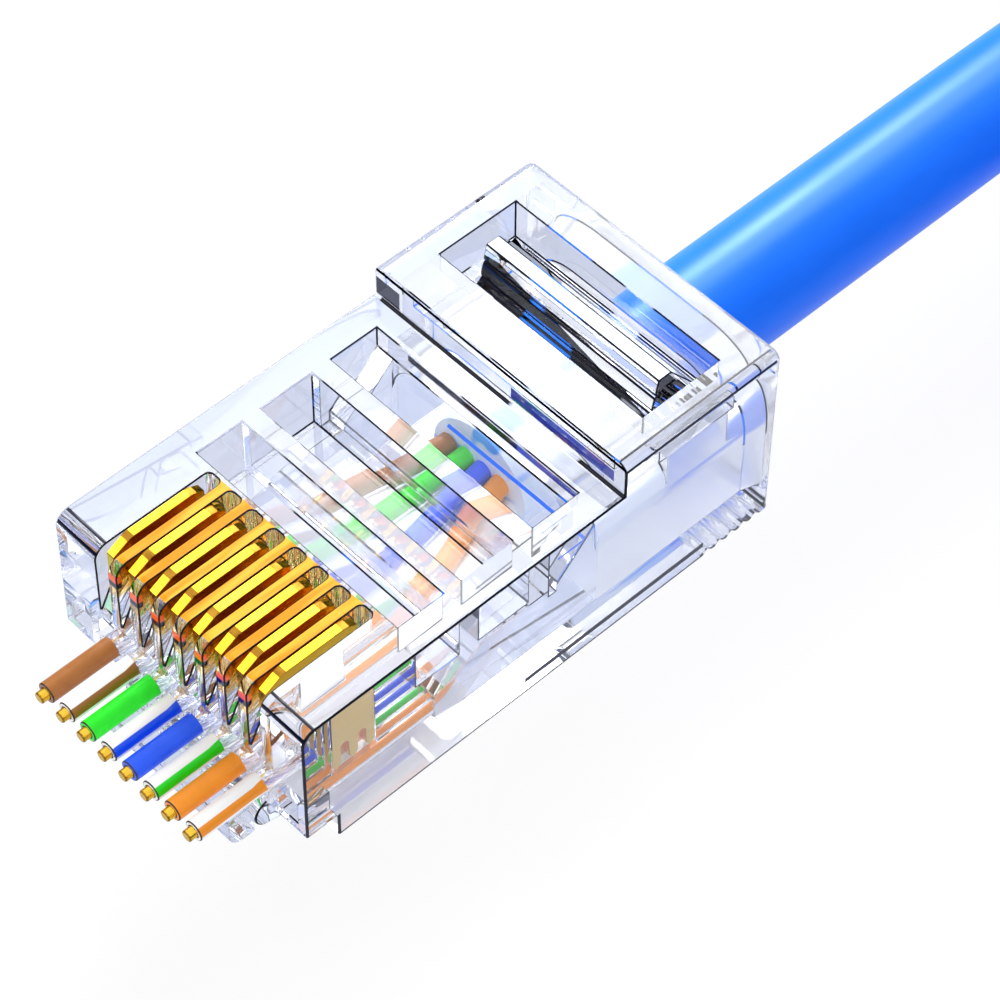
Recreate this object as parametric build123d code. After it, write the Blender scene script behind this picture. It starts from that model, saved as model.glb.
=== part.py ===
from build123d import *

import math
import os

# Eight-way modular plug on a round cable, with its wires pushed out through the nose, before crimping.
# Sizes are in millimetres. The plug is drawn with its nose at Y = 0, its underside at Z = 0,
# contacts on top, latch below and the cable leaving towards +Y. The last step moves every piece
# so that the plug stands on Z = 0 by the tip of its latch and is centred over the origin.

# Body, one clear moulding
BODY_WIDTH = 11.68
BODY_LENGTH = 20.55
FRONT_HEIGHT = 6.50
REAR_HEIGHT = 7.93
REAR_BLOCK_START = 13.56
NOSE_RELIEF_HEIGHT = 1.10
NOSE_RELIEF_LENGTH = 1.30
NOSE_TOP_RADIUS = 0.55
REAR_TOP_RADIUS = 0.40
REAR_CORNER_RADIUS = 0.25
POCKET_WIDTH = 9.40
POCKET_FLOOR = 4.05
FIRST_POCKET = (4.92, 6.81)
SECOND_POCKET = (7.58, 9.78)
CLAMP_POCKET = (10.61, 12.60)
CLAMP_SLOPE_TOP = 5.60
CLAMP_SLOT = 0.40
RELIEF_POCKET = (15.40, 18.80)
RELIEF_FLOOR = 6.25
RELIEF_WEB = 0.30

# Strain-relief bar, level with the rear block's top, on a thin web that lets it fold down on the jacket
BAR_WIDTH = 8.00
BAR_SETBACK = 1.39
BAR_TOP_THICKNESS = 0.57
BAR_FRONT_LEAN = 0.20
BAR_REAR_LEAN = 0.78
BAR_SLOT = 0.35
BAR_GROOVE = 0.14
BAR_GROOVE_PLACES = (0.38, 0.74)

# Contacts
WAYS = 8
PITCH = 1.02
CONTACT_THICKNESS = 0.34
CONTACT_TOP = 6.67
CONTACT_HEAD_BOTTOM = 5.38
CONTACT_SPAN = (0.38, 4.12)
CONTACT_FRONT_BEVEL = (0.72, 0.40)
CONTACT_REAR_BEVEL = (0.44, 0.22)
SHANK_SPAN = (1.72, 3.52)
PRONGS = 3
PRONG_SLOT = 0.32
PRONG_LENGTH = 1.00
PRONG_POINT = 0.32
SLOT_WIDTH = 0.60
SLOT_WALL = 0.20
SLOT_CORNER = 0.20
SLOT_FRONT_DEPTH = 3.10
SLOT_FRONT_LENGTH = 0.90
FIT = 0.02
HEAD_ROOM = 0.10

# Wires: the pale ones carry a stripe of the colour that follows them
WIRE_DIAMETER = 0.76
CONDUCTOR_DIAMETER = 0.42
WIRE_HEIGHT = 1.80
WIRE_STICK_OUT = 2.65
CONDUCTOR_STICK_OUT = 0.30
WIRE_CLEARANCE = 0.045
FAN_START = 6.40
FAN_SQUEEZE = 0.39
LAYER_OFFSET = 0.44
WIRE_BEND = 3.0
WIRE_NAMES = ("white_orange", "orange", "white_green", "blue",
              "white_blue", "green", "white_brown", "brown")

# Cable and the cavity that takes it
CABLE_DIAMETER = 4.35
JACKET_WALL = 0.30
CABLE_HEIGHT = 2.87
JACKET_END = 12.90
CAVITY_WIDTH = 8.20
CAVITY_FLOOR = 1.10
CAVITY_TOP = 5.25
CAVITY_CORNER = 1.50
CAVITY_ROOF_FRONT = 3.55
CABLE_CLEARANCE = 0.10
GUIDE_END = 5.90
GUIDE_ROOF = 2.45
FUNNEL_END = 8.20
FUNNEL_FLOOR_END = 7.20
CLAMP_WEB = 0.60
MOUTH_FLARE = 0.45

# Small recesses: two core-outs beside the wire holes, grip grooves under the rear end
CORE_OUT_SPAN = (4.50, 5.40)
CORE_OUT_HEIGHTS = (1.55, 2.50)
CORE_OUT_DEPTH = 1.10
GRIP_GROOVES = 5
GRIP_PITCH = 0.56
GRIP_DEPTH = 0.20
GRIP_END_MARGIN = 0.45

# Latch, which flexes at its thin root under the nose
LATCH_WIDTH = 6.00
LEVER_WIDTH = 3.24
LATCH_REST_ANGLE = 9.0
LATCH_PIVOT = (0.85, -1.20)
ROOT_RADIUS = 0.62
ROOT_GAP = 0.05
ROOT_BOTTOM = -0.85
ROOT_BACK = 1.90
TOE_FRONT = -0.86
TOE_HEIGHTS = (-1.70, -0.20)
TOE_RADIUS = 0.60
LEVER_TOP = 0.33
SHOULDER_REACH = 7.45
SHOULDER_STEP = 0.65
TIP_REACH = 18.0
TIP_CORNER = 1.10

# Free cable: straight as it leaves the plug, then down to the top turn of a flat coil
CABLE_STRAIGHT = 20.25
CABLE_SLOPE = 2.80
COIL_LEAD_IN = 15.2
COIL_DIAMETER = 44.0
COIL_TURNS_WIDE = 1
COIL_CORNER = 1.80
COIL_SLACK = 0.12

OVERRUN = 1.0
TOUCH = 1e-3


def side_prism(points, width, x=0.0):
    """Draw an outline in Y and Z, and carry it across X to both sides of one place."""
    outline = Plane.YZ.offset(x) * make_face(Polyline(*points, close=True))
    return extrude(outline, amount=width / 2, both=True)


def block(x_span, y_span, z_span):
    """A box given by its two ends along each axis."""
    spans = (x_span, y_span, z_span)
    sizes = [span[1] - span[0] for span in spans]
    return Pos(*[span[0] for span in spans]) * Box(*sizes, align=(Align.MIN, Align.MIN, Align.MIN))


def rod_along_y(radius, start, end, x, z):
    """A round bar from one Y to another."""
    section = section_plane(start, x, z) * Circle(radius)
    return extrude(section, amount=start - end)


def section_plane(y, x=0.0, z=0.0):
    """A plane across the plug, seen from the nose, with its own Y pointing up."""
    return Plane(origin=(x, y, z), x_dir=(1, 0, 0), z_dir=(0, -1, 0))


def edges_at(part, axis, **place):
    """The edges along one axis whose middle lies at the coordinates given."""
    found = part.edges().filter_by(axis)
    for letter, value in place.items():
        found = found.filter_by(lambda edge: abs(getattr(edge.center(), letter) - value) < TOUCH)
    return found


def way_x(way):
    """X of the contact, slot and wire of one way, the first being on the +X side."""
    return ((WAYS - 1) / 2 - way) * PITCH


# Body

def body_block():
    """Outer form: low front, raised rear block, relieved nose, rounded top edges."""
    solid = side_prism(
        [
            (0, NOSE_RELIEF_HEIGHT),
            (NOSE_RELIEF_LENGTH, NOSE_RELIEF_HEIGHT),
            (NOSE_RELIEF_LENGTH, 0),
            (BODY_LENGTH, 0),
            (BODY_LENGTH, REAR_HEIGHT),
            (REAR_BLOCK_START, REAR_HEIGHT),
            (REAR_BLOCK_START, FRONT_HEIGHT),
            (0, FRONT_HEIGHT),
        ],
        BODY_WIDTH,
    )
    solid = fillet(edges_at(solid, Axis.X, Y=0, Z=FRONT_HEIGHT), NOSE_TOP_RADIUS)
    sides = (-BODY_WIDTH / 2, BODY_WIDTH / 2)
    long_edges = [edge for side in sides for edge in edges_at(solid, Axis.Y, X=side, Z=REAR_HEIGHT)]
    solid = fillet(long_edges, REAR_TOP_RADIUS)
    corners = [edge for side in sides for edge in edges_at(solid, Axis.Z, X=side, Y=BODY_LENGTH)]
    return fillet(corners, REAR_CORNER_RADIUS)


def latch_root():
    """The web under the nose that carries the latch, with a rounded toe before the latch's root."""
    pivot_y, pivot_z = LATCH_PIVOT
    nose_top = NOSE_RELIEF_HEIGHT + TOUCH
    toe_bottom, toe_top = TOE_HEIGHTS
    toe_back = pivot_y - ROOT_RADIUS - ROOT_GAP
    web = side_prism(
        [
            (0, nose_top),
            (0, toe_top),
            (TOE_FRONT, toe_top),
            (TOE_FRONT, toe_bottom),
            (toe_back, toe_bottom),
            (toe_back, pivot_z),
            (pivot_y + ROOT_RADIUS, ROOT_BOTTOM),
            (ROOT_BACK, TOUCH),
            (NOSE_RELIEF_LENGTH, TOUCH),
            (NOSE_RELIEF_LENGTH, nose_top),
        ],
        LATCH_WIDTH,
    )
    web = fillet(edges_at(web, Axis.X, Y=TOE_FRONT, Z=toe_bottom), TOE_RADIUS)
    seat = Pos(0, pivot_y, pivot_z) * Rot(Y=90) * Cylinder(ROOT_RADIUS + ROOT_GAP, BODY_WIDTH)
    return web - seat


def top_pockets():
    """The two blind pockets, the clamp pocket over the cavity and the relief pocket."""
    half = POCKET_WIDTH / 2
    above = REAR_HEIGHT + OVERRUN
    cut = block((-half, half), FIRST_POCKET, (POCKET_FLOOR, above))
    cut += block((-half, half), SECOND_POCKET, (POCKET_FLOOR, above))
    front, rear = CLAMP_POCKET
    slot_end = front + CLAMP_SLOT
    cut += side_prism(
        [
            (front, above),
            (rear, above),
            (rear, CLAMP_SLOPE_TOP),
            (slot_end, CLAMP_SLOPE_TOP - (rear - slot_end)),
            (slot_end, CAVITY_ROOF_FRONT - TOUCH),
            (front, CAVITY_ROOF_FRONT - TOUCH),
        ],
        POCKET_WIDTH,
    )
    cut += block((-half, half), RELIEF_POCKET, (RELIEF_FLOOR, above))
    slot_end = bar_outline()[0][0]
    half = BAR_WIDTH / 2
    cavity_side = CAVITY_TOP - CAVITY_CORNER
    undercut = (slot_end - BAR_SLOT, RELIEF_POCKET[1])
    cut += block((-half, half), undercut, (cavity_side, RELIEF_FLOOR - RELIEF_WEB))
    cut += block((-half, half), (slot_end - BAR_SLOT, slot_end), (cavity_side, above))
    return cut


def bar_outline():
    """The bar across: front foot, rear foot, and the two edges of its flat top, as Y and Z."""
    foot = RELIEF_FLOOR - RELIEF_WEB / 2
    rise = REAR_HEIGHT - foot
    front = RELIEF_POCKET[0] + BAR_SETBACK
    rear = front + BAR_TOP_THICKNESS
    rear_foot = min(rear + BAR_REAR_LEAN * rise, RELIEF_POCKET[1] - TOUCH)
    return [(front - BAR_FRONT_LEAN * rise, foot), (rear_foot, foot), (rear, REAR_HEIGHT), (front, REAR_HEIGHT)]


def strain_relief_bar():
    """The bar that folds down on the jacket in crimping, with two grooves along its front."""
    outline = bar_outline()
    bar = side_prism(outline, BAR_WIDTH)
    (foot_y, foot_z), (top_y, top_z) = outline[0], outline[-1]
    for share in BAR_GROOVE_PLACES:
        y = top_y + share * (foot_y - top_y)
        z = top_z + share * (foot_z - top_z)
        bar -= Pos(0, y, z) * Rot(X=45) * Box(BAR_WIDTH + OVERRUN, BAR_GROOVE, BAR_GROOVE)
    return bar


def cable_section():
    """The cavity across: a wide arch over the flat floor, with a trough for a round cable."""
    height = CAVITY_TOP - CAVITY_FLOOR
    arch = Rectangle(CAVITY_WIDTH, height)
    arch = fillet(arch.vertices().group_by(Axis.Y)[-1], CAVITY_CORNER)
    arch = Pos(0, CAVITY_FLOOR + height / 2) * arch
    return arch, Pos(0, CABLE_HEIGHT) * Circle(CABLE_DIAMETER / 2 + CABLE_CLEARANCE)


def cable_cavity():
    """From the rear mouth, over the jacket's end, down a funnel to the eight wire holes."""
    arch, trough = cable_section()
    arch_start = CLAMP_POCKET[1] + CAVITY_TOP - CLAMP_SLOPE_TOP + CLAMP_WEB
    rear_end = BODY_LENGTH + OVERRUN
    cavity = extrude(section_plane(arch_start) * arch, amount=arch_start - rear_end)
    cavity += extrude(section_plane(JACKET_END) * trough, amount=JACKET_END - rear_end)
    mouth = section_plane(BODY_LENGTH) * offset(arch + trough, MOUTH_FLARE)
    throat = section_plane(BODY_LENGTH - 2 * MOUTH_FLARE) * (arch + trough)
    cavity += loft([mouth.face(), throat.face()])
    roof_slope_start = arch_start - (CAVITY_TOP - CAVITY_ROOF_FRONT)
    row_floor = WIRE_HEIGHT - WIRE_DIAMETER / 2 - WIRE_CLEARANCE
    cavity += side_prism(
        [
            (GUIDE_END, row_floor),
            (FUNNEL_FLOOR_END, CAVITY_FLOOR),
            (arch_start + CAVITY_CORNER, CAVITY_FLOOR),
            (arch_start + CAVITY_CORNER, CAVITY_TOP - CAVITY_CORNER),
            (arch_start, CAVITY_TOP - CAVITY_CORNER),
            (arch_start, CAVITY_TOP),
            (roof_slope_start, CAVITY_ROOF_FRONT),
            (FUNNEL_END, CAVITY_ROOF_FRONT),
            (GUIDE_END, GUIDE_ROOF),
        ],
        CAVITY_WIDTH,
    )
    return cavity


def contact_slot(x):
    """One slot of the comb: open at the nose, rounded behind, narrow below where it guides the shank."""
    slot_end = FIRST_POCKET[0] - SLOT_WALL
    comb = side_prism(
        [
            (-OVERRUN, FRONT_HEIGHT - SLOT_FRONT_DEPTH),
            (0, FRONT_HEIGHT - SLOT_FRONT_DEPTH),
            (SLOT_FRONT_LENGTH, CONTACT_HEAD_BOTTOM - 2 * HEAD_ROOM),
            (SLOT_FRONT_LENGTH, CONTACT_HEAD_BOTTOM - HEAD_ROOM),
            (slot_end, CONTACT_HEAD_BOTTOM - HEAD_ROOM),
            (slot_end, FRONT_HEIGHT + OVERRUN),
            (-OVERRUN, FRONT_HEIGHT + OVERRUN),
        ],
        SLOT_WIDTH,
        x,
    )
    comb = fillet(edges_at(comb, Axis.Z, Y=slot_end), SLOT_CORNER)
    half = CONTACT_THICKNESS / 2 + FIT
    guide = block(
        (x - half, x + half),
        (SHANK_SPAN[0] - FIT, SHANK_SPAN[1] + FIT),
        (WIRE_HEIGHT, CONTACT_HEAD_BOTTOM),
    )
    return comb + guide


def wire_hole(x):
    """The round hole that leads one wire from the funnel out through the nose."""
    radius = WIRE_DIAMETER / 2 + WIRE_CLEARANCE
    return rod_along_y(radius, -OVERRUN, GUIDE_END + WIRE_CLEARANCE, x, WIRE_HEIGHT)


def small_recesses():
    """The core-outs in the nose face and the grip grooves under the rear end."""
    cut = Part()
    for side in (-1, 1):
        x_span = sorted((side * CORE_OUT_SPAN[0], side * CORE_OUT_SPAN[1]))
        cut += block(x_span, (-OVERRUN, CORE_OUT_DEPTH), CORE_OUT_HEIGHTS)
    for groove in range(GRIP_GROOVES):
        y = BODY_LENGTH - GRIP_END_MARGIN - GRIP_DEPTH - groove * GRIP_PITCH
        cut += side_prism([(y - GRIP_DEPTH, 0), (y, GRIP_DEPTH), (y + GRIP_DEPTH, 0)], BODY_WIDTH + OVERRUN)
    return cut


def housing():
    """The clear body, with everything that is moulded in."""
    solid = body_block() + latch_root()
    solid -= top_pockets()
    solid -= cable_cavity()
    for way in range(WAYS):
        solid -= contact_slot(way_x(way))
        solid -= wire_hole(way_x(way))
    solid -= small_recesses()
    return solid + strain_relief_bar()


# Latch

def latch():
    """Root barrel, wide ramp up to the two locking shoulders, and the narrow lever behind."""
    pivot_y, pivot_z = LATCH_PIVOT
    ramp = side_prism(
        [
            (0, -ROOT_RADIUS),
            (SHOULDER_REACH, -ROOT_RADIUS - SHOULDER_STEP),
            (SHOULDER_REACH, LEVER_TOP),
            (0, LEVER_TOP),
        ],
        LATCH_WIDTH,
    )
    ramp += Rot(Y=90) * Cylinder(ROOT_RADIUS, LATCH_WIDTH)
    lever = side_prism(
        [
            (0, -ROOT_RADIUS),
            (TIP_REACH, -ROOT_RADIUS),
            (TIP_REACH, LEVER_TOP),
            (0, LEVER_TOP),
        ],
        LEVER_WIDTH,
    )
    lever = fillet(edges_at(lever, Axis.Z, Y=TIP_REACH), TIP_CORNER)
    return Pos(0, pivot_y, pivot_z) * Rot(X=-LATCH_REST_ANGLE) * (ramp + lever)


# Contacts

def contact(x):
    """A stamped blade: long head with bevelled ends, and a shank with three pointed prongs."""
    front, rear = CONTACT_SPAN
    head = side_prism(
        [
            (front, CONTACT_HEAD_BOTTOM),
            (rear, CONTACT_HEAD_BOTTOM),
            (rear, CONTACT_TOP - CONTACT_REAR_BEVEL[1]),
            (rear - CONTACT_REAR_BEVEL[0], CONTACT_TOP),
            (front + CONTACT_FRONT_BEVEL[0], CONTACT_TOP),
            (front, CONTACT_TOP - CONTACT_FRONT_BEVEL[1]),
        ],
        CONTACT_THICKNESS,
        x,
    )
    tip = WIRE_HEIGHT + WIRE_DIAMETER / 2 + WIRE_CLEARANCE
    prong_width = (SHANK_SPAN[1] - SHANK_SPAN[0] - (PRONGS - 1) * PRONG_SLOT) / PRONGS
    outline = [(SHANK_SPAN[0], CONTACT_HEAD_BOTTOM)]
    for prong in range(PRONGS):
        start = SHANK_SPAN[0] + prong * (prong_width + PRONG_SLOT)
        outline.append((start, tip + PRONG_POINT))
        outline.append((start + prong_width / 2, tip))
        outline.append((start + prong_width, tip + PRONG_POINT))
    outline.append((SHANK_SPAN[1], CONTACT_HEAD_BOTTOM))
    shank = side_prism(outline, CONTACT_THICKNESS, x)
    for gap in range(PRONGS - 1):
        y = SHANK_SPAN[0] + (gap + 1) * prong_width + (gap + 0.5) * PRONG_SLOT
        low = (y - PRONG_SLOT / 2, y + PRONG_SLOT / 2)
        top = tip + PRONG_LENGTH
        shank -= block((x - CONTACT_THICKNESS, x + CONTACT_THICKNESS), low, (tip - OVERRUN, top))
        shank -= Pos(x, y, top) * Rot(Y=90) * Cylinder(PRONG_SLOT / 2, 2 * CONTACT_THICKNESS)
    return head + shank


# Wires

def wire_path(way, stick_out):
    """One wire: straight through its hole, then slanting back into the bundle in the jacket."""
    x = way_x(way)
    bundle_x = x * FAN_SQUEEZE
    layer = LAYER_OFFSET if way % 2 else -LAYER_OFFSET
    bundle_z = CABLE_HEIGHT + layer
    points = [
        (x, -stick_out, WIRE_HEIGHT),
        (x, FAN_START, WIRE_HEIGHT),
        (bundle_x, JACKET_END - CABLE_CLEARANCE, bundle_z),
        (bundle_x, BODY_LENGTH, bundle_z),
    ]
    return FilletPolyline(*points, radius=WIRE_BEND)


def insulation(way):
    """The plastic sleeve of one wire."""
    start = section_plane(-WIRE_STICK_OUT, way_x(way), WIRE_HEIGHT)
    path = wire_path(way, WIRE_STICK_OUT)
    sleeve = sweep(start * Circle(WIRE_DIAMETER / 2), path=path)
    return sleeve - sweep(start * Circle(CONDUCTOR_DIAMETER / 2), path=path)


def conductor(way):
    """The copper core of one wire, which shows at the front end."""
    stick_out = WIRE_STICK_OUT + CONDUCTOR_STICK_OUT
    start = section_plane(-stick_out, way_x(way), WIRE_HEIGHT)
    return sweep(start * Circle(CONDUCTOR_DIAMETER / 2), path=wire_path(way, stick_out))


# Cable

def jacket_end():
    """The stripped end of the jacket, held in the cavity."""
    outer = rod_along_y(CABLE_DIAMETER / 2, JACKET_END, BODY_LENGTH, 0, CABLE_HEIGHT)
    bore = rod_along_y(CABLE_DIAMETER / 2 - JACKET_WALL, JACKET_END, BODY_LENGTH, 0, CABLE_HEIGHT)
    return outer - bore


def corner_radii(points):
    """Largest arcs that the runs on both sides of each corner leave room for."""
    radii = []
    for before, corner, after in zip(points, points[1:], points[2:]):
        into = Vector(*corner) - Vector(*before)
        out = Vector(*after) - Vector(*corner)
        turn = math.radians(into.get_angle(out))
        radii.append(0.45 * min(into.length, out.length) / math.tan(turn / 2))
    return radii


def cable_slope(floor):
    """Where the cable starts down, where its run ends, and where it meets the coil's top turn."""
    start = Vector(0, BODY_LENGTH + CABLE_STRAIGHT, CABLE_HEIGHT)
    end = Vector(0, start.Y + CABLE_SLOPE + COIL_LEAD_IN, floor + 1.5 * CABLE_DIAMETER)
    run_end = start + (end - start) * (CABLE_SLOPE / (CABLE_SLOPE + COIL_LEAD_IN))
    return start, run_end, end


def cable_run(floor):
    """The free cable, from the mouth of the plug to the lead-in of the coil."""
    start, run_end, _ = cable_slope(floor)
    points = [(0, BODY_LENGTH, CABLE_HEIGHT), tuple(start), tuple(run_end)]
    radii = corner_radii(points)
    path = FilletPolyline(*points, radius=radii)
    tube = sweep(section_plane(BODY_LENGTH, 0, CABLE_HEIGHT) * Circle(CABLE_DIAMETER / 2), path=path)
    section = math.pi * CABLE_DIAMETER**2 / 4
    print("cable run radii", [round(radius, 1) for radius in radii])
    print("cable run volume over section times length", round(tube.volume / section / path.length, 4))
    return tube


def cable_coil(floor):
    """Outer shape of the coil, one turn wide and two high, with the lead-in to its top turn."""
    half_width = COIL_TURNS_WIDE * CABLE_DIAMETER / 2
    outer = COIL_DIAMETER / 2 + half_width + COIL_SLACK
    inner = COIL_DIAMETER / 2 - half_width - COIL_SLACK
    _, run_end, end = cable_slope(floor)
    centre_x = COIL_DIAMETER / 2 + half_width - CABLE_DIAMETER / 2
    height = 2 * CABLE_DIAMETER + COIL_SLACK
    ring_section = Pos((inner + outer) / 2, height / 2) * RectangleRounded(outer - inner, height, COIL_CORNER)
    ring = Pos(centre_x, end.Y, floor) * revolve(Plane.XZ * ring_section, Axis.Z)
    along = end - run_end
    lead_in = Plane(origin=run_end, x_dir=(1, 0, 0), z_dir=along) * Circle(CABLE_DIAMETER / 2)
    return ring + extrude(lead_in, amount=along.length / 2)


def build():
    """Every piece by name, in the drawing's place."""
    pieces = {"housing": housing(), "latch": latch()}
    for way, name in enumerate(WIRE_NAMES):
        number = way + 1
        pieces[f"contact_{number}"] = contact(way_x(way))
        pieces[f"wire_{number}_{name}"] = insulation(way)
        pieces[f"conductor_{number}"] = conductor(way)
    floor = pieces["latch"].bounding_box().min.Z
    pieces["jacket_end"] = jacket_end()
    pieces["cable_run"] = cable_run(floor)
    pieces["cable_coil"] = cable_coil(floor)
    return pieces, floor


def export_all():
    """Write one file for each piece, moved so that the plug stands centred on Z = 0."""
    os.makedirs("parts", exist_ok=True)
    pieces, floor = build()
    front = -(WIRE_STICK_OUT + CONDUCTOR_STICK_OUT)
    move = Pos(0, -(front + BODY_LENGTH) / 2, -floor)
    print("moved by", tuple(round(value, 4) for value in move.position))
    for name, piece in pieces.items():
        export_step(move * piece, f"parts/{name}.step")


export_all()
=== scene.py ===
import math

import bmesh
import bpy
from mathutils import Matrix, Vector

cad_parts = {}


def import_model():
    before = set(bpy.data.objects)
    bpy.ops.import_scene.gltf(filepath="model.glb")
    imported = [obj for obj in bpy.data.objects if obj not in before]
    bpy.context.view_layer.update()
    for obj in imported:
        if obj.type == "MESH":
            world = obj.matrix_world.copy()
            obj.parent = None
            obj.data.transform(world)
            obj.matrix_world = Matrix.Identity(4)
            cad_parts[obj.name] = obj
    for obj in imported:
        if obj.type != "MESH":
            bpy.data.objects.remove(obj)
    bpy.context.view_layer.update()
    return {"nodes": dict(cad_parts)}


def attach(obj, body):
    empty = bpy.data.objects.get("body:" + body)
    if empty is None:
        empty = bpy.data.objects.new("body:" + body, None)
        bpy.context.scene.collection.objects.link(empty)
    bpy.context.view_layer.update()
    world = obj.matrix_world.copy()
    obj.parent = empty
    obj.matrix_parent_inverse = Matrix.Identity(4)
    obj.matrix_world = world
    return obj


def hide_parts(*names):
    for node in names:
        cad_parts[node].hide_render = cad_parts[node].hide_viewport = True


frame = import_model()

# Blender works in metres. Lengths of the drawing are in millimetres, and MM turns them into metres.
MM = 0.001
# From the plug's own drawing, whose nose is at y = 0 and whose bottom is at z = 0, to the row frame
PLUG_SHIFT = Vector((0.0, -8.8, 4.6282))
WIRE_NAMES = (
    "white_orange", "orange", "white_green", "blue",
    "white_blue", "green", "white_brown", "brown",
)

# Cable and its coil, in the row frame
CABLE_DIAMETER = 4.35
CABLE_HEIGHT = 7.498
CABLE_START = 4.1
CABLE_EXIT = 11.75
COIL_CENTRE = (22.0, 50.0)
COIL_RADIUS = 22.0
COIL_TOP = 6.525
COIL_BOTTOM = 2.175
COIL_POINTS_A_TURN = 16
# Places on the run from the plug to the coil: how far along y, and height
CABLE_RUN = (
    (CABLE_START, CABLE_HEIGHT),
    (CABLE_EXIT, CABLE_HEIGHT),
    (21.9, CABLE_HEIGHT),
    (32.0, CABLE_HEIGHT),
    (41.0, 0.5 * (CABLE_HEIGHT + COIL_TOP)),
)
# Degrees turned round the coil, and the height there
COIL_STATIONS = ((0, COIL_TOP), (285, COIL_TOP), (350, COIL_BOTTOM), (640, COIL_BOTTOM))


# Node helpers

def new_material(name):
    material = bpy.data.materials.new(name)
    material.use_nodes = True
    tree = material.node_tree
    return material, tree, tree.nodes["Principled BSDF"]


def node(tree, kind, **settings):
    made = tree.nodes.new(kind)
    for key, value in settings.items():
        setattr(made, key, value)
    return made


def math_node(tree, operation, *values):
    """A Math node whose inputs are numbers or sockets; gives its output socket."""
    made = node(tree, "ShaderNodeMath", operation=operation)
    for socket, value in zip(made.inputs, values):
        if isinstance(value, (int, float)):
            socket.default_value = value
        else:
            tree.links.new(value, socket)
    return made.outputs[0]


def product(tree, first, second):
    return math_node(tree, "MULTIPLY", first, second)


def largest(tree, first, *others):
    for other in others:
        first = math_node(tree, "MAXIMUM", first, other)
    return first


def coordinates(tree, kind="Object"):
    """The X, Y and Z sockets of a texture coordinate."""
    place = node(tree, "ShaderNodeTexCoord")
    parts = node(tree, "ShaderNodeSeparateXYZ")
    tree.links.new(place.outputs[kind], parts.inputs[0])
    return parts.outputs


def noise(tree, scale, detail=2.0, stretch=(1, 1, 1)):
    """Noise in object space, with its scale per metre; gives its value socket."""
    place = node(tree, "ShaderNodeTexCoord")
    mapping = node(tree, "ShaderNodeMapping")
    mapping.inputs["Scale"].default_value = stretch
    texture = node(tree, "ShaderNodeTexNoise")
    texture.inputs["Scale"].default_value = scale
    texture.inputs["Detail"].default_value = detail
    tree.links.new(place.outputs["Object"], mapping.inputs["Vector"])
    tree.links.new(mapping.outputs["Vector"], texture.inputs["Vector"])
    return texture.outputs["Fac"]


def ramp(tree, value, low, high, start=0.0, end=1.0):
    """Map a value from one range to another, held at its ends."""
    made = node(tree, "ShaderNodeMapRange")
    tree.links.new(value, made.inputs["Value"])
    for name, number in (("From Min", low), ("From Max", high), ("To Min", start), ("To Max", end)):
        made.inputs[name].default_value = number
    return made.outputs["Result"]


def mix_colour(tree, factor, first, second):
    """Blend two colours, each a tuple or a socket, by a factor socket."""
    made = node(tree, "ShaderNodeMix", data_type="RGBA")
    tree.links.new(factor, made.inputs["Factor"])
    for name, value in (("A", first), ("B", second)):
        socket = [s for s in made.inputs if s.name == name and s.type == "RGBA"][0]
        if isinstance(value, tuple):
            socket.default_value = (*value, 1)
        else:
            tree.links.new(value, socket)
    return [s for s in made.outputs if s.type == "RGBA"][0]


def bump(tree, shader, height, strength, distance):
    """Relief from a height socket; its distance is in metres."""
    made = node(tree, "ShaderNodeBump")
    made.inputs["Strength"].default_value = strength
    made.inputs["Distance"].default_value = distance
    tree.links.new(height, made.inputs["Height"])
    tree.links.new(made.outputs["Normal"], shader.inputs["Normal"])


def mottled(tree, shader, marks, spread, colours, roughness):
    """Two colours and a range of roughness, both following the same marks."""
    tint = mix_colour(tree, ramp(tree, marks, *spread), *colours)
    tree.links.new(tint, shader.inputs["Base Color"])
    tree.links.new(ramp(tree, marks, 0.3, 0.7, *roughness), shader.inputs["Roughness"])


def let_lamps_through(tree, shader):
    """Rays from lamps and diffuse surfaces pass straight through, so that what is inside is lit."""
    path = node(tree, "ShaderNodeLightPath")
    through = node(tree, "ShaderNodeBsdfTransparent")
    through.inputs["Color"].default_value = (0.96, 0.965, 0.98, 1)
    choice = node(tree, "ShaderNodeMixShader")
    unseen = largest(tree, path.outputs["Is Shadow Ray"], path.outputs["Is Diffuse Ray"])
    tree.links.new(unseen, choice.inputs["Fac"])
    tree.links.new(shader.outputs["BSDF"], choice.inputs[1])
    tree.links.new(through.outputs["BSDF"], choice.inputs[2])
    tree.links.new(choice.outputs["Shader"], tree.nodes["Material Output"].inputs["Surface"])


def within(tree, mirrored=False, **spans):
    """1 inside a box of the plug's drawing and 0 outside it.

    If mirrored, x counts from the middle to both sides.
    """
    where = coordinates(tree)
    inside = None
    for letter, (low, high) in spans.items():
        value = where[letter.upper()]
        if letter == "x" and mirrored:
            value = math_node(tree, "ABSOLUTE", value)
        shift = PLUG_SHIFT["xyz".index(letter)]
        middle = (0.5 * (low + high) + shift) * MM
        test = math_node(tree, "COMPARE", value, middle, 0.5 * (high - low) * MM)
        inside = test if inside is None else product(tree, inside, test)
    return inside


# Colours and places of the clear body, with its boxes in the plug's drawing

POLYCARBONATE_IOR = 1.585
CLEAR = (0.945, 0.96, 1.0)
WHITE = (1.0, 1.0, 1.0)
BLACK = (0.004, 0.005, 0.02)
NAVY = (0.004, 0.015, 0.30)
BLUE = (0.02, 0.16, 0.95)
EMBER = (0.95, 0.11, 0.004)
PALE_AZURE = (0.84, 0.92, 1.0)

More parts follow.
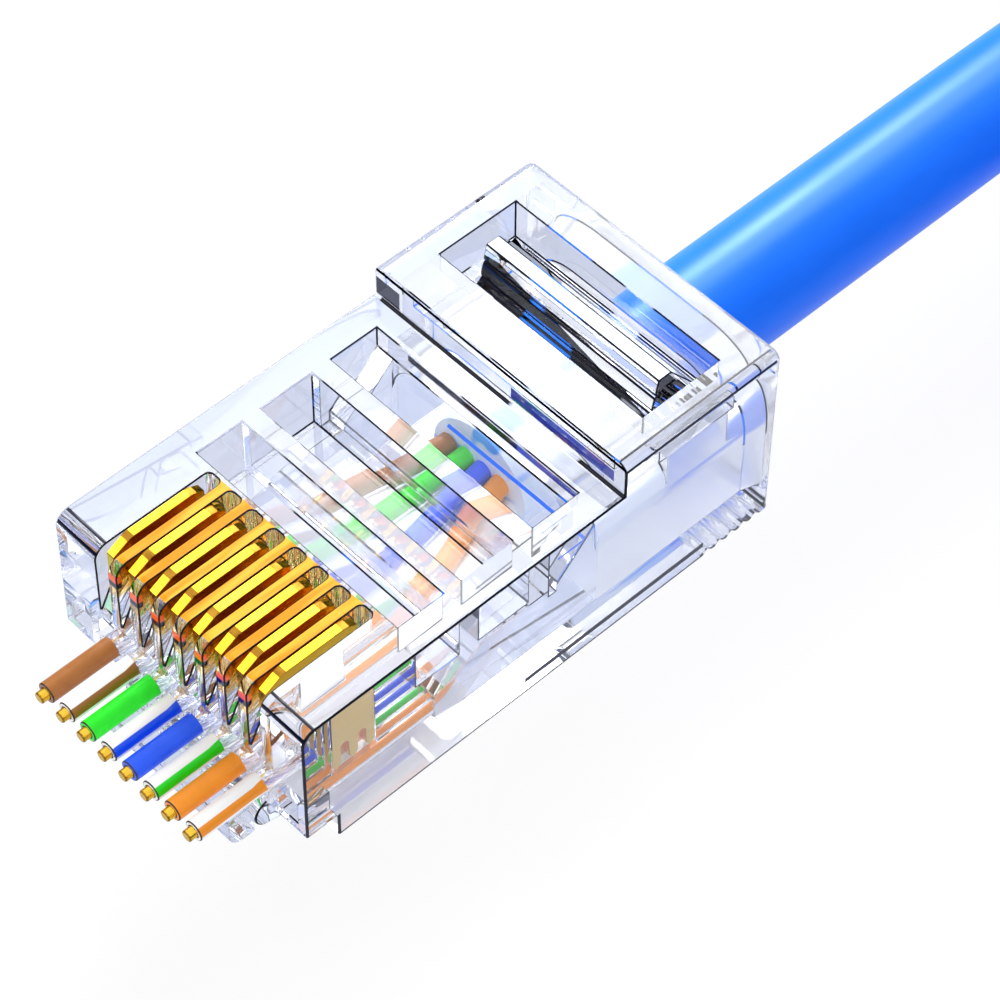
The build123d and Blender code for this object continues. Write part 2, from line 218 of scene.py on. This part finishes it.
# Painted reflection: the comb's ribs are tinted amber and their tops painted a nearly solid amber with a
# dimmer amber highlight, standing in for the gold blades reflected in them.
COMB = {"x": (-3.60, 3.60), "y": (-9, 4.95), "z": (5.10, 6.45)}
COMB_PAINTED_AMBER = (0.95, 0.48, 0.06)
COMB_TOP = {"x": (-3.42, 3.42), "y": (0.2, 4.74), "z": (6.46, 6.60)}
RIB_TOP_PAINTED_AMBERS = ((0.82, 0.29, 0.012), (1.0, 0.50, 0.045))
AMBER_SHEEN = (0.40, 0.14, 0.0)
COMB_TOP_COVER = 0.92

CAVITY = {"x": (-4.60, 4.60), "y": (13.0, 21.0), "z": (0.9, 5.9)}
CAVITY_COVER = 0.35
SATIN = 0.22

# Painted reflection: these flat places are painted a nearly solid pale lavender, standing in for the
# reflections the clear walls show there.
PAINTED_LAVENDER = (0.70, 0.75, 0.92)
PAINTED_LAVENDER_COVER = 0.6
PAINTED_LAVENDER_PLACES = (
    {"x": (-5.76, -3.95), "y": (0.56, 13.5), "z": (6.40, 6.60)},
    {"x": (-5.43, -4.74), "y": (13.62, 20.1), "z": (7.90, 7.97)},
    {"x": (-4.60, 4.60), "y": (6.30, 8.25), "z": (2.60, 3.53)},
)
# Painted reflection: a patch of the bottom is painted a nearly solid white, standing in for the white
# backdrop seen through it.
PAINTED_WHITE = (0.93, 0.95, 1.0)
PAINTED_WHITE_COVER = 0.75
PAINTED_WHITE_PLACE = {"x": (1.3, 5.8), "y": (1.4, 7.8), "z": (-0.04, 0.04)}
# Painted highlight: dimmer and bluish on the painted lavender and white places.
PAINTED_PATCH_SHEEN = (0.2, 0.2, 0.3)

# Painted reflections: narrow places painted ember, black, navy, blue and pale azure, standing in for the
# glints and dark refraction lines that thick clear walls show.
PAINTED_GLINTS = (
    # Fronts of the comb's ribs
    (EMBER, {"x": (-3.42, 3.42), "y": (-0.1, 0.2), "z": (5.76, 6.08)}),
    (BLACK, {"x": (-3.42, 3.42), "y": (-0.1, 0.2), "z": (5.50, 5.76)}),
    # Floors of the hollows in the nose, and the nose's upper edges
    (BLACK, {"x": (4.5, 5.4), "y": (1.05, 1.15), "z": (1.50, 2.55), "mirrored": True}),
    (BLACK, {"x": (3.9, 5.9), "y": (0.44, 0.55), "z": (6.40, 6.60), "mirrored": True}),
    (BLACK, {"x": (3.9, 5.9), "y": (0.04, 0.12), "z": (6.17, 6.30), "mirrored": True}),
    # Step up to the rear block
    (BLACK, {"x": (-5.84, -4.65), "y": (13.50, 13.62), "z": (6.60, 7.40)}),
    (NAVY, {"x": (0.6, 5.3), "y": (13.50, 13.62), "z": (6.80, 7.30)}),
    # Edges of the rear block
    (BLACK, {"x": (5.44, 5.52), "y": (13.6, 20.3), "z": (7.86, 7.97)}),
    (BLACK, {"x": (5.74, 5.90), "y": (13.6, 20.3), "z": (7.60, 7.70)}),
    (BLACK, {"x": (-5.82, -5.74), "y": (13.6, 20.4), "z": (7.60, 7.80)}),
    (BLACK, {"x": (-5.6, -3.2), "y": (20.45, 20.53), "z": (7.60, 7.80)}),
    (BLACK, {"x": (5.73, 5.90), "y": (20.42, 20.60), "z": (1.7, 7.7)}),
    # Rear wall and slope of the clamp pocket
    (BLACK, {"x": (-3.2, 1.9), "y": (12.50, 12.70), "z": (6.10, 6.40)}),
    (NAVY, {"x": (1.9, 4.75), "y": (12.50, 12.70), "z": (6.10, 6.40)}),
    (BLUE, {"x": (-0.9, 4.75), "y": (11.0, 12.70), "z": (5.16, 5.25)}),
    # Top of the strain-relief bar
    (PALE_AZURE, {"x": (-3.98, 3.98), "y": (16.80, 17.34), "z": (7.90, 7.97)}),
    # Lower right edge
    (BLACK, {"x": (5.75, 5.90), "y": (1.3, 17.4), "z": (-0.05, 0.15)}),
    (BLACK, {"x": (5.80, 5.90), "y": (9.3, 17.4), "z": (0.58, 0.82)}),
)

# Painted dark edge lines: the parts of the body's rounded edges that aren't painted plain black
EDGE_BLACK = (0.003, 0.003, 0.010)
EDGE_BLUE = (0.02, 0.20, 0.90)
EDGE_CLEAR = (0.90, 0.92, 1.0)
EDGE_MIDDLE = {"x": (-9, 5.5), "y": (4.95, 30)}
EDGE_LEFT = {"x": (-9, -5.5)}
EDGE_UNDER = {"x": (-9, 5.0), "z": (-9, 3.5)}


# Materials

def clear_plastic():
    """Moulded clear polycarbonate: smooth, faintly wavy, with light let through to what it holds.

    The comb is painted amber between the contacts and on its rib tops, a painted reflection of the gold
    blades;
    the cable's cavity has the satin of its core pin; the flat top beside the comb and part of the bottom are
    painted pale lavender and white, painted reflections; and narrow places get painted glints, dark, blue,
    ember and pale, standing in for the reflections and refraction lines that thick clear walls show.
    """
    material, tree, shader = new_material("clear_polycarbonate")
    comb_top = within(tree, **COMB_TOP)
    cavity = within(tree, **CAVITY)
    # Painted reflections: places painted pale lavender, and a patch of the bottom painted white.
    painted_lavender = largest(tree, *(within(tree, **box) for box in PAINTED_LAVENDER_PLACES))
    painted_white = within(tree, **PAINTED_WHITE_PLACE)

    # Painted reflection of the gold blades: the ribs tinted amber, their tops an amber in streaks.
    streaks = noise(tree, 1800, 2.0, (1.0, 0.12, 1.0))
    amber = mix_colour(tree, ramp(tree, streaks, 0.42, 0.58), *RIB_TOP_PAINTED_AMBERS)
    tint = mix_colour(tree, within(tree, **COMB), CLEAR, COMB_PAINTED_AMBER)
    tint = mix_colour(tree, comb_top, tint, amber)
    tint = mix_colour(tree, painted_lavender, tint, PAINTED_LAVENDER)
    tint = mix_colour(tree, painted_white, tint, PAINTED_WHITE)
    solid = largest(
        tree,
        product(tree, comb_top, COMB_TOP_COVER),
        product(tree, cavity, CAVITY_COVER),
        product(tree, painted_lavender, PAINTED_LAVENDER_COVER),
        product(tree, painted_white, PAINTED_WHITE_COVER),
    )
    bands = ramp(tree, noise(tree, 2600, 1.0, (0.05, 1.0, 1.0)), 0.44, 0.50, 0.35, 0.95)
    # Each painted glint, a painted reflection or dark refraction line, covers the tint and is made solid;
    # the navy ones only in streaks.
    for colour, box in PAINTED_GLINTS:
        painted_glint = within(tree, **box)
        tint = mix_colour(tree, painted_glint, tint, colour)
        if colour == NAVY:
            painted_glint = product(tree, painted_glint, bands)
        solid = largest(tree, solid, painted_glint)
    tree.links.new(tint, shader.inputs["Base Color"])
    tree.links.new(math_node(tree, "SUBTRACT", 1.0, solid), shader.inputs["Transmission Weight"])

    # Painted highlights: dimmer and amber on the rib tops, and dimmer and bluish on the painted lavender and
    # white places.
    sheen = mix_colour(tree, comb_top, WHITE, AMBER_SHEEN)
    sheen = mix_colour(tree, largest(tree, painted_lavender, painted_white), sheen, PAINTED_PATCH_SHEEN)
    tree.links.new(sheen, shader.inputs["Specular Tint"])
    shader.inputs["IOR"].default_value = POLYCARBONATE_IOR
    smooth = ramp(tree, noise(tree, 900), 0.35, 0.75, 0.0, 0.02)
    rough = product(tree, largest(tree, comb_top, cavity), SATIN)
    tree.links.new(largest(tree, smooth, rough), shader.inputs["Roughness"])
    bump(tree, shader, noise(tree, 260, 1.0), 0.025, 0.0002)
    let_lamps_through(tree, shader)
    return material


def painted_dark_edge(name, always=False):
    """Rounded edges of clear plastic.

    They are painted black, standing in for the dark lines that refraction draws along a clear part's edges,
    but on the body's left and underside and between its pockets partly painted blue or left clear.
    """
    material, tree, shader = new_material(name)
    patches = noise(tree, 330, 1.0)
    shader.inputs["Base Color"].default_value = (*EDGE_BLACK, 1)
    if not always:
        middle = within(tree, **EDGE_MIDDLE)
        quiet = largest(tree, within(tree, **EDGE_LEFT), within(tree, **EDGE_UNDER))
        clear = largest(
            tree,
            product(tree, ramp(tree, patches, 0.57, 0.60), middle),
            product(tree, quiet, 0.9),
        )
        blue = product(tree, ramp(tree, patches, 0.36, 0.34), middle)
        tint = mix_colour(tree, blue, EDGE_BLACK, EDGE_BLUE)
        tree.links.new(mix_colour(tree, clear, tint, EDGE_CLEAR), shader.inputs["Base Color"])
        tree.links.new(clear, shader.inputs["Transmission Weight"])
    shader.inputs["IOR"].default_value = POLYCARBONATE_IOR
    shader.inputs["Specular IOR Level"].default_value = 0.15
    tree.links.new(ramp(tree, patches, 0.3, 0.7, 0.10, 0.20), shader.inputs["Roughness"])
    let_lamps_through(tree, shader)
    return material


PLATING = ((1.0, 0.62, 0.030), (0.97, 0.50, 0.018))
# The blades' sides are painted a darker orange as painted shade, and the shank's sides a flat mustard with
# little metal, a painted reflection of the gold seen through the nose wall.
PLATING_SIDE_PAINTED_SHADE = (0.74, 0.43, 0.004)
SHANK_SIDE_PAINTED_MUSTARD = (0.66, 0.42, 0.03)
SHANK = {"z": (-9.0, 5.36)}


def gold():
    """Gold plating over stamped bronze, with fine marks along the blade; the blades' sides are painted
    darker as painted shade, and the shank's sides a duller flat mustard, a painted reflection of the gold
    seen through the nose wall.
    """
    material, tree, shader = new_material("gold_plating")
    tint = mix_colour(tree, ramp(tree, noise(tree, 700, 3.0), 0.35, 0.7), *PLATING)
    across = math_node(tree, "ABSOLUTE", coordinates(tree, "Normal")["X"])
    side = math_node(tree, "GREATER_THAN", across, 0.95)
    shank = product(tree, side, within(tree, **SHANK))
    # Painted shade on the blades' sides, and painted flat mustard on the shank's sides.
    tint = mix_colour(tree, side, tint, PLATING_SIDE_PAINTED_SHADE)
    tint = mix_colour(tree, shank, tint, SHANK_SIDE_PAINTED_MUSTARD)
    tree.links.new(tint, shader.inputs["Base Color"])
    metallic = math_node(tree, "SUBTRACT", 1.0, product(tree, shank, 0.8))
    tree.links.new(metallic, shader.inputs["Metallic"])
    marks = noise(tree, 4000, 2.0, (3, 0.25, 3))
    tree.links.new(ramp(tree, marks, 0.3, 0.7, 0.10, 0.24), shader.inputs["Roughness"])
    bump(tree, shader, marks, 0.15, 0.00001)
    return material


def painted_dark_metal_edge():
    """The rounded edges of the blades and of the cores, painted a dark brown gold as a painted dark
    reflection of their surroundings.
    """
    material, tree, shader = new_material("painted_dark_metal_edge")
    shader.inputs["Metallic"].default_value = 1.0
    # Painted dark reflection: the two dark brown golds of the rounded edges.
    bronze = ((0.36, 0.17, 0.018), (0.50, 0.25, 0.03))
    mottled(tree, shader, noise(tree, 2500, 2.0), (0.35, 0.65), bronze, (0.25, 0.35))
    return material


def copper():
    """Drawn copper wire with a cut end."""
    material, tree, shader = new_material("bare_copper")
    shader.inputs["Metallic"].default_value = 1.0
    marks = noise(tree, 5000, 2.0, (3, 0.3, 3))
    mottled(tree, shader, marks, (0.3, 0.7), ((0.98, 0.66, 0.08), (0.86, 0.50, 0.04)), (0.18, 0.32))
    bump(tree, shader, marks, 0.2, 0.00001)
    return material


def painted_dark_sleeve_rim():
    """The rim of a cut sleeve, painted near black as painted shade along its edge."""
    material, tree, shader = new_material("painted_dark_sleeve_rim")
    # Painted shade: near black on the sleeve's rounded rim.
    painted_dark_rim = ((0.010, 0.009, 0.008), (0.05, 0.045, 0.04))
    mottled(tree, shader, noise(tree, 3000, 2.0), (0.35, 0.65), painted_dark_rim, (0.4, 0.6))
    return material


INSULATION = {
    "orange": (0.86, 0.27, 0.004),
    "green": (0.002, 0.74, 0.004),
    "blue": (0.004, 0.09, 0.90),
    "brown": (0.34, 0.115, 0.016),
}
PALE = (0.96, 0.96, 0.95)
# The stripe is centred to the right of the top, and its half width grows between two places in mm
# along the wire. From TWIST_START on it winds round the sleeve by TWIST_RATE radians a mm.
STRIPE_CENTRE = math.radians(30)
STRIPE_HALF_WIDTHS = (math.radians(28), math.radians(50))
STRIPE_WIDENS = (-9.2, -8.2)
STRIPE_EDGE = 0.03
TWIST_START = -2.4
TWIST_RATE = 0.55


def wire_stripe(tree):
    """1 on the stripe of a pale sleeve, which winds once the wires are behind the nose."""
    normal = coordinates(tree, "Normal")
    along = coordinates(tree)["Y"]
    angle = math_node(tree, "ARCTAN2", normal["Z"], normal["X"])
    behind = math_node(tree, "MAXIMUM", math_node(tree, "SUBTRACT", along, TWIST_START * MM), 0.0)
    turned = product(tree, behind, TWIST_RATE / MM)
    offset = math_node(tree, "ADD", math_node(tree, "SUBTRACT", angle, STRIPE_CENTRE), turned)
    nearest = math_node(tree, "PINGPONG", offset, math.pi)
    half_width = ramp(tree, along, *(limit * MM for limit in STRIPE_WIDENS), *STRIPE_HALF_WIDTHS)
    past = math_node(tree, "SUBTRACT", nearest, half_width)
    return ramp(tree, past, STRIPE_EDGE, -STRIPE_EDGE)


def wire_insulation(name):
    """A sleeve in a solid colour, or a pale one with a coloured stripe."""
    material, tree, shader = new_material(f"insulation_{name}")
    colour = INSULATION[name.split("_")[-1]]
    grain = noise(tree, 1500, 2.0)
    if name.startswith("white"):
        tint = mix_colour(tree, wire_stripe(tree), PALE, colour)
    else:
        lighter = tuple(min(1, c * 1.15 + 0.003) for c in colour)
        tint = mix_colour(tree, ramp(tree, grain, 0.3, 0.7), colour, lighter)
    tree.links.new(tint, shader.inputs["Base Color"])
    tree.links.new(ramp(tree, grain, 0.3, 0.7, 0.28, 0.40), shader.inputs["Roughness"])
    shader.inputs["Specular IOR Level"].default_value = 0.4
    shader.inputs["Coat Weight"].default_value = 0.25
    shader.inputs["Coat Roughness"].default_value = 0.15
    bump(tree, shader, grain, 0.1, 0.00002)
    return material


JACKET = ((0.010, 0.150, 0.90), (0.014, 0.168, 0.96))
# Painted light: the jacket's left side is painted a lighter azure, as if lit more strongly from the left.
JACKET_PAINTED_LIT_LEFT = (0.016, 0.26, 1.0)
# Painted reflection: where the plug's walls cover the jacket it is painted pale and streaked, standing in
# for what their refraction shows.
JACKET_PAINTED_THROUGH_WALLS = ((0.74, 0.82, 1.0), (0.10, 0.36, 1.0))
COVERED = {"y": (-9, 17.6)}
# Painted highlight: the jacket's highlight is tinted azure, and painted darker on its right side as painted
# shade.
JACKET_SHEEN = (0.55, 0.95, 1.0)
JACKET_SHEEN_PAINTED_SHADE_RIGHT = (0.04, 0.22, 0.45)


def cable_jacket():
    """Satin blue jacket with a faint extruded texture. Its left side is painted lighter as painted light,
    its azure highlight is painted darker on the right as painted shade, and it is painted pale and streaked
    where the plug's walls cover it, a painted reflection of what their refraction shows.
    """
    material, tree, shader = new_material("cable_jacket_blue")
    grain = noise(tree, 900, 3.0, (1, 0.3, 1))
    streaks = noise(tree, 900, 1.0, (1.0, 0.10, 1.0))
    across = coordinates(tree, "Normal")["X"]
    tint = mix_colour(tree, ramp(tree, grain, 0.3, 0.7), *JACKET)
    # Painted light on the jacket's left side.
    tint = mix_colour(tree, ramp(tree, across, 0.0, -0.8), tint, JACKET_PAINTED_LIT_LEFT)
    # Painted pale and streaked under the plug's walls, a painted reflection.
    pale = mix_colour(tree, ramp(tree, streaks, 0.52, 0.60), *JACKET_PAINTED_THROUGH_WALLS)
    tint = mix_colour(tree, within(tree, **COVERED), tint, pale)
    tree.links.new(tint, shader.inputs["Base Color"])
    tree.links.new(ramp(tree, grain, 0.3, 0.7, 0.32, 0.38), shader.inputs["Roughness"])
    shader.inputs["Specular IOR Level"].default_value = 0.55
    # Painted highlight: tinted azure, and darker on the right side as painted shade.
    sheen = mix_colour(tree, ramp(tree, across, 0.15, 0.65), JACKET_SHEEN, JACKET_SHEEN_PAINTED_SHADE_RIGHT)
    tree.links.new(sheen, shader.inputs["Specular Tint"])
    bump(tree, shader, grain, 0.08, 0.00003)
    return material


# Pieces

BODY_SIDE = 5.84
CONTACT_TOP = 6.67 + PLUG_SHIFT.z
MERGE_DISTANCE = 1e-7
FLAT_ANGLE = math.radians(0.6)


def body_side(edge):
    """Whether an edge runs along a side of the body."""
    return all(abs(abs(vertex.co.x) - BODY_SIDE * MM) < 0.02 * MM for vertex in edge.verts)


def blade_corner(edge):
    """Whether an edge crosses a blade where its top meets one of its sloping ends."""
    first, second = (vertex.co for vertex in edge.verts)
    near = 0.01 * MM
    at_top = all(abs(point.z - CONTACT_TOP * MM) < near for point in (first, second))
    return at_top and abs(first.y - second.y) < near


def dressed(
    name, piece_name, material, width,
    small=0.45, segments=2, least_angle=25.0, rim=None, wide=body_side, flat=False,
):
    """A finished copy of a CAD node: flat faces joined, edges rounded, and normals smoothed.

    Edges that wide picks out are rounded to the full width, and the others to the share small of it.
    """
    source = frame["nodes"][name]
    mesh = bpy.data.meshes.new(piece_name)
    form = bmesh.new()
    form.from_mesh(source.data)
    bmesh.ops.remove_doubles(form, verts=form.verts, dist=MERGE_DISTANCE)
    bmesh.ops.dissolve_limit(form, angle_limit=FLAT_ANGLE, verts=form.verts, edges=form.edges)
    weights = form.edges.layers.float.new("bevel_weight_edge")
    for edge in form.edges:
        if len(edge.link_faces) == 2 and edge.calc_face_angle(0) > math.radians(least_angle):
            edge[weights] = 1.0 if wide(edge) else small
    for face in form.faces:
        face.smooth = not flat
    form.to_mesh(mesh)
    form.free()
    piece = bpy.data.objects.new(piece_name, mesh)
    bpy.context.scene.collection.objects.link(piece)
    mesh.materials.append(material)
    rounding = piece.modifiers.new("edges", "BEVEL")
    rounding.width = width * MM
    rounding.segments = segments
    rounding.limit_method = "WEIGHT"
    rounding.use_clamp_overlap = False
    if rim:
        mesh.materials.append(rim)
        rounding.material = 1
    if not flat:
        normals = piece.modifiers.new("normals", "WEIGHTED_NORMAL")
        normals.weight = 100
    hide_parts(name)
    return piece


def coil_height(angle):
    """Height of the coil's line once it has turned by an angle in degrees."""
    for (start, high), (end, low) in zip(COIL_STATIONS, COIL_STATIONS[1:]):
        if start <= angle <= end:
            height = high + (angle - start) / (end - start) * (low - high)
    return height


def cable_points():
    """Control points of the cable: straight out of the plug, down to the coil, and its turns."""
    points = [(0, along, height) for along, height in CABLE_RUN]
    step = 360 / COIL_POINTS_A_TURN
    # A spline runs inside its control points, so those of the coil stand out from its circle
    radius = COIL_RADIUS / (0.25 + 0.75 * math.cos(math.radians(step / 2)))
    angle = 0.0
    while angle <= COIL_STATIONS[-1][0]:
        turn = math.radians(180 - angle)
        across, along = radius * math.cos(turn), radius * math.sin(turn)
        points.append((COIL_CENTRE[0] + across, COIL_CENTRE[1] + along, coil_height(angle)))
        angle += step
    return points


def cable(material):
    """The cable, one smooth line from inside the plug to the end of its coil."""
    curve = bpy.data.curves.new("cable", "CURVE")
    curve.dimensions = "3D"
    spline = curve.splines.new("NURBS")
    points = cable_points()
    spline.points.add(len(points) - 1)
    for point, (x, y, z) in zip(spline.points, points):
        point.co = (x * MM, y * MM, z * MM, 1)
    spline.order_u = 3
    spline.use_endpoint_u = True
    spline.resolution_u = 6
    curve.bevel_depth = CABLE_DIAMETER / 2 * MM
    curve.bevel_resolution = 12
    curve.use_fill_caps = True
    curve.materials.append(material)
    piece = bpy.data.objects.new("cable", curve)
    bpy.context.scene.collection.objects.link(piece)
    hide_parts("jacket_end", "cable_run", "cable_coil")
    return piece


plastic = clear_plastic()
plating = gold()
painted_dark_metal_edges = painted_dark_metal_edge()
bare_copper = copper()
cut = painted_dark_sleeve_rim()

# The rounded edges of the body and of the latch get painted dark edge lines.
housing = dressed("housing", "plug_housing", plastic, 0.075, small=0.6, rim=painted_dark_edge("clear_body_painted_dark_edge"))
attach(housing, "plug")
latch_rim = painted_dark_edge("latch_painted_dark_edge", always=True)
latch = dressed("latch", "plug_latch", plastic, 0.06, small=1.0, rim=latch_rim)
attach(latch, "latch")

for number, name in enumerate(WIRE_NAMES, start=1):
    blade = dressed(
        f"contact_{number}", f"blade_{number}", plating, 0.15,
        small=0.14, segments=1, rim=painted_dark_metal_edges, wide=blade_corner, flat=True,
    )
    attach(blade, "plug")
    sleeve = dressed(
        f"wire_{number}_{name}", f"sleeve_{number}", wire_insulation(name), 0.04,
        small=1.0, least_angle=50, rim=cut,
    )
    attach(sleeve, "plug")
    core = dressed(
        f"conductor_{number}", f"core_{number}", bare_copper, 0.05,
        small=1.0, least_angle=50, rim=painted_dark_metal_edges,
    )
    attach(core, "plug")

cord = cable(cable_jacket())
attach(cord, "plug")


# Stage, in metres

FLOOR_REACH = 0.6
FLOOR_COLOUR = (0.86, 0.86, 0.87)
FLOOR_SEEN_DIRECT = (1.0, 1.0, 1.0)
FLOOR_SEEN_THROUGH = (0.92, 0.94, 1.0)
FLOOR_REFLECTED = (0.62, 0.66, 0.80)
FLOOR_WHITENESS = 0.88
DARK_BACKDROP = (0.015, 0.02, 0.05)
DARK_FLOOR = (0.02, 0.025, 0.05)
# Beyond these distances from the origin the floor turns dark in reflections
FLOOR_DARKENS = (0.045, 0.08)
# Heights of a direction between which the backdrop turns from dark to white in reflections
BACKDROP_BRIGHTENS = (0.24, 0.34)
WORLD_COLOUR = (0.96, 0.98, 1.0)
WORLD_STRENGTH = 0.62

# Name, place, size, power, what it is aimed at, and how far it is moved aside
PLUG_MIDDLE = (0, 0, 0.006)
LAMPS = (
    ("top_light", (-0.157, 0.151, 0.274), 0.20, 0.52, PLUG_MIDDLE, 0.074),
    ("front_light", (-0.157, -0.149, 0.278), 0.16, 0.20, PLUG_MIDDLE, 0.0),
    ("side_light", (-0.219, 0.173, 0.235), 0.08, 0.75, (0, 0.022, 0.0075), 0.0),
    ("fill", (0.20, -0.20, 0.20), 0.20, 0.22, PLUG_MIDDLE, 0.0),
)

CAMERA_PLACE = (58.756, -51.585, 108.235)
CAMERA_RIGHT = (0.68668, 0.72693, 0.00708)
CAMERA_UP = (-0.5726, 0.5348, 0.6214)
CAMERA_BACK = (0.44796, -0.43078, 0.78343)
CAMERA_LENS = 142.4
SENSOR_WIDTH = 36


def floor():
    mesh = bpy.data.meshes.new("floor")
    reach = FLOOR_REACH
    corners = [(-reach, -reach, 0), (reach, -reach, 0), (reach, reach, 0), (-reach, reach, 0)]
    mesh.from_pydata(corners, [], [(0, 1, 2, 3)])
    made = bpy.data.objects.new("floor", mesh)
    bpy.context.scene.collection.objects.link(made)
    material, tree, shader = new_material("pale_floor")
    shader.inputs["Base Color"].default_value = (*FLOOR_COLOUR, 1)
    shader.inputs["Roughness"].default_value = 0.9
    shader.inputs["Specular IOR Level"].default_value = 0.0
    path = node(tree, "ShaderNodeLightPath").outputs
    seen = largest(tree, path["Is Camera Ray"], path["Is Glossy Ray"], path["Is Transmission Ray"])
    indirect = math_node(tree, "SUBTRACT", 1.0, path["Is Camera Ray"])
    place = node(tree, "ShaderNodeTexCoord")
    distance = node(tree, "ShaderNodeVectorMath", operation="LENGTH")
    tree.links.new(place.outputs["Object"], distance.inputs[0])
    far = ramp(tree, distance.outputs["Value"], *FLOOR_DARKENS)
    near = mix_colour(tree, indirect, FLOOR_SEEN_DIRECT, FLOOR_SEEN_THROUGH)
    near = mix_colour(tree, path["Is Glossy Ray"], near, FLOOR_REFLECTED)
    glow = node(tree, "ShaderNodeEmission")
    colour = mix_colour(tree, product(tree, far, indirect), near, DARK_FLOOR)
    tree.links.new(colour, glow.inputs["Color"])
    choice = node(tree, "ShaderNodeMixShader")
    tree.links.new(product(tree, seen, FLOOR_WHITENESS), choice.inputs["Fac"])
    tree.links.new(shader.outputs["BSDF"], choice.inputs[1])
    tree.links.new(glow.outputs["Emission"], choice.inputs[2])
    tree.links.new(choice.outputs["Shader"], tree.nodes["Material Output"].inputs["Surface"])
    mesh.materials.append(material)


def world():
    """Even light all round, white behind the object, and a dark horizon in reflections."""
    made = bpy.data.worlds.new("studio")
    bpy.context.scene.world = made
    made.use_nodes = True
    tree = made.node_tree
    tree.nodes.clear()
    output = node(tree, "ShaderNodeOutputWorld")
    lighting = node(tree, "ShaderNodeBackground")
    lighting.inputs["Color"].default_value = (*WORLD_COLOUR, 1)
    lighting.inputs["Strength"].default_value = WORLD_STRENGTH
    bright = ramp(tree, coordinates(tree, "Generated")["Z"], *BACKDROP_BRIGHTENS)
    backdrop = node(tree, "ShaderNodeBackground")
    tree.links.new(mix_colour(tree, bright, DARK_BACKDROP, WHITE), backdrop.inputs["Color"])
    plain = node(tree, "ShaderNodeBackground")
    plain.inputs["Color"].default_value = (*WHITE, 1)
    path = node(tree, "ShaderNodeLightPath").outputs
    first = node(tree, "ShaderNodeMixShader")
    tree.links.new(largest(tree, path["Is Glossy Ray"], path["Is Transmission Ray"]), first.inputs["Fac"])
    tree.links.new(lighting.outputs[0], first.inputs[1])
    tree.links.new(backdrop.outputs[0], first.inputs[2])
    second = node(tree, "ShaderNodeMixShader")
    tree.links.new(path["Is Camera Ray"], second.inputs["Fac"])
    tree.links.new(first.outputs[0], second.inputs[1])
    tree.links.new(plain.outputs[0], second.inputs[2])
    tree.links.new(second.outputs[0], output.inputs["Surface"])


def lamp(name, place, size, power, target, aside):
    """A square lamp whose sides run with the plug's, moved aside in its own plane after it is aimed."""
    data = bpy.data.lights.new(name, "AREA")
    data.size = size
    data.energy = power
    made = bpy.data.objects.new(name, data)
    bpy.context.scene.collection.objects.link(made)
    back = (Vector(place) - Vector(target)).normalized()
    right = (Vector((1, 0, 0)) - back.x * back).normalized()
    turn = Matrix((right, back.cross(right), back)).transposed().to_4x4()
    made.matrix_world = Matrix.Translation(Vector(place) + aside * right) @ turn


def camera():
    data = bpy.data.cameras.new("camera")
    data.sensor_width = SENSOR_WIDTH
    data.lens = CAMERA_LENS
    data.clip_start = 0.005
    data.clip_end = 20
    made = bpy.data.objects.new("camera", data)
    bpy.context.scene.collection.objects.link(made)
    turn = Matrix((CAMERA_RIGHT, CAMERA_UP, CAMERA_BACK)).transposed().to_4x4()
    made.matrix_world = Matrix.Translation(Vector(CAMERA_PLACE) * MM) @ turn
    bpy.context.scene.camera = made


floor()
world()
for settings in LAMPS:
    lamp(*settings)
camera()
scene = bpy.context.scene
scene.view_settings.view_transform = "Standard"
# Light is reflected many times inside the clear walls before it leaves them
scene.cycles.max_bounces = 24
scene.cycles.glossy_bounces = 18
scene.cycles.transmission_bounces = 24
